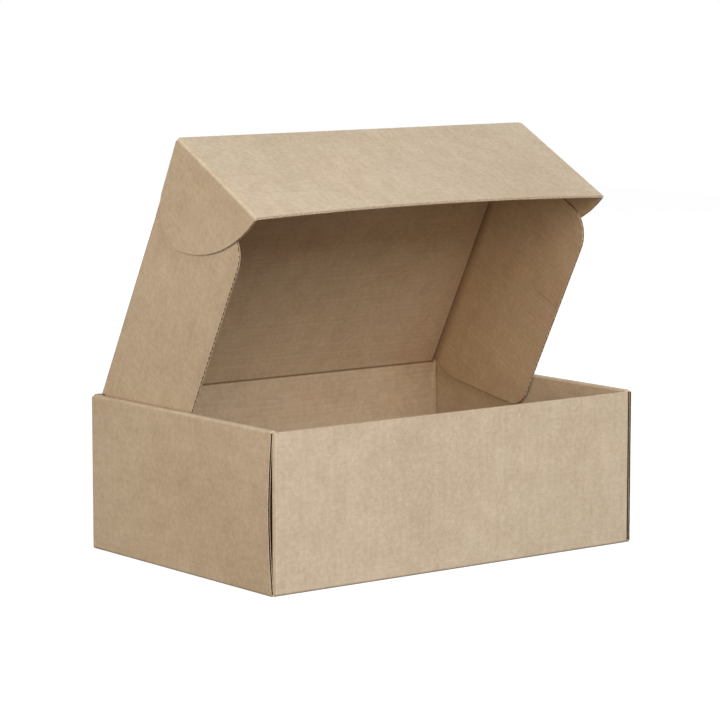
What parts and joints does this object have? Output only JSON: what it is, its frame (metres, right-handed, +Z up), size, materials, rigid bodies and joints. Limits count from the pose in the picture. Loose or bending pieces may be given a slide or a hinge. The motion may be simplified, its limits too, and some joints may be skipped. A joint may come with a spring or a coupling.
{
  "type": "shipping box",
  "caption": "Plain brown fluted-board mailer box with rolled side walls, standing open, with a hinged lid, side wings and a tuck flap.",
  "frame": {"origin": "middle of the base, on the surface that the box stands on", "axes": "+X along the front wall, +Y towards the hinge at the back, +Z up"},
  "size_m": [0.265, 0.18, 0.247],
  "materials": {
    "kraft_board": "matte"
  },
  "bodies": {
    "tray": {"tray": "kraft_board"},
    "lid": {"lid": "kraft_board"},
    "tuck_flap": {"tuck_flap": "kraft_board"}
  },
  "joints": [
    {"name": "lid_hinge", "type": "hinge", "parent": "tray", "child": "lid", "pos_m": [0, 0.08925, 0.09125], "axis": [-1, 0, 0], "range_deg": [-62, 118]},
    {"name": "flap_hinge", "type": "hinge", "parent": "lid", "child": "tuck_flap", "pos_m": [0, 0.00686, 0.24621], "axis": [-1, 0, 0], "range_deg": [-24.5, 46.5]}
  ],
  "couplings": [
    {"joint": "flap_hinge", "follows": "lid_hinge", "ratio": 0.39}
  ]
}
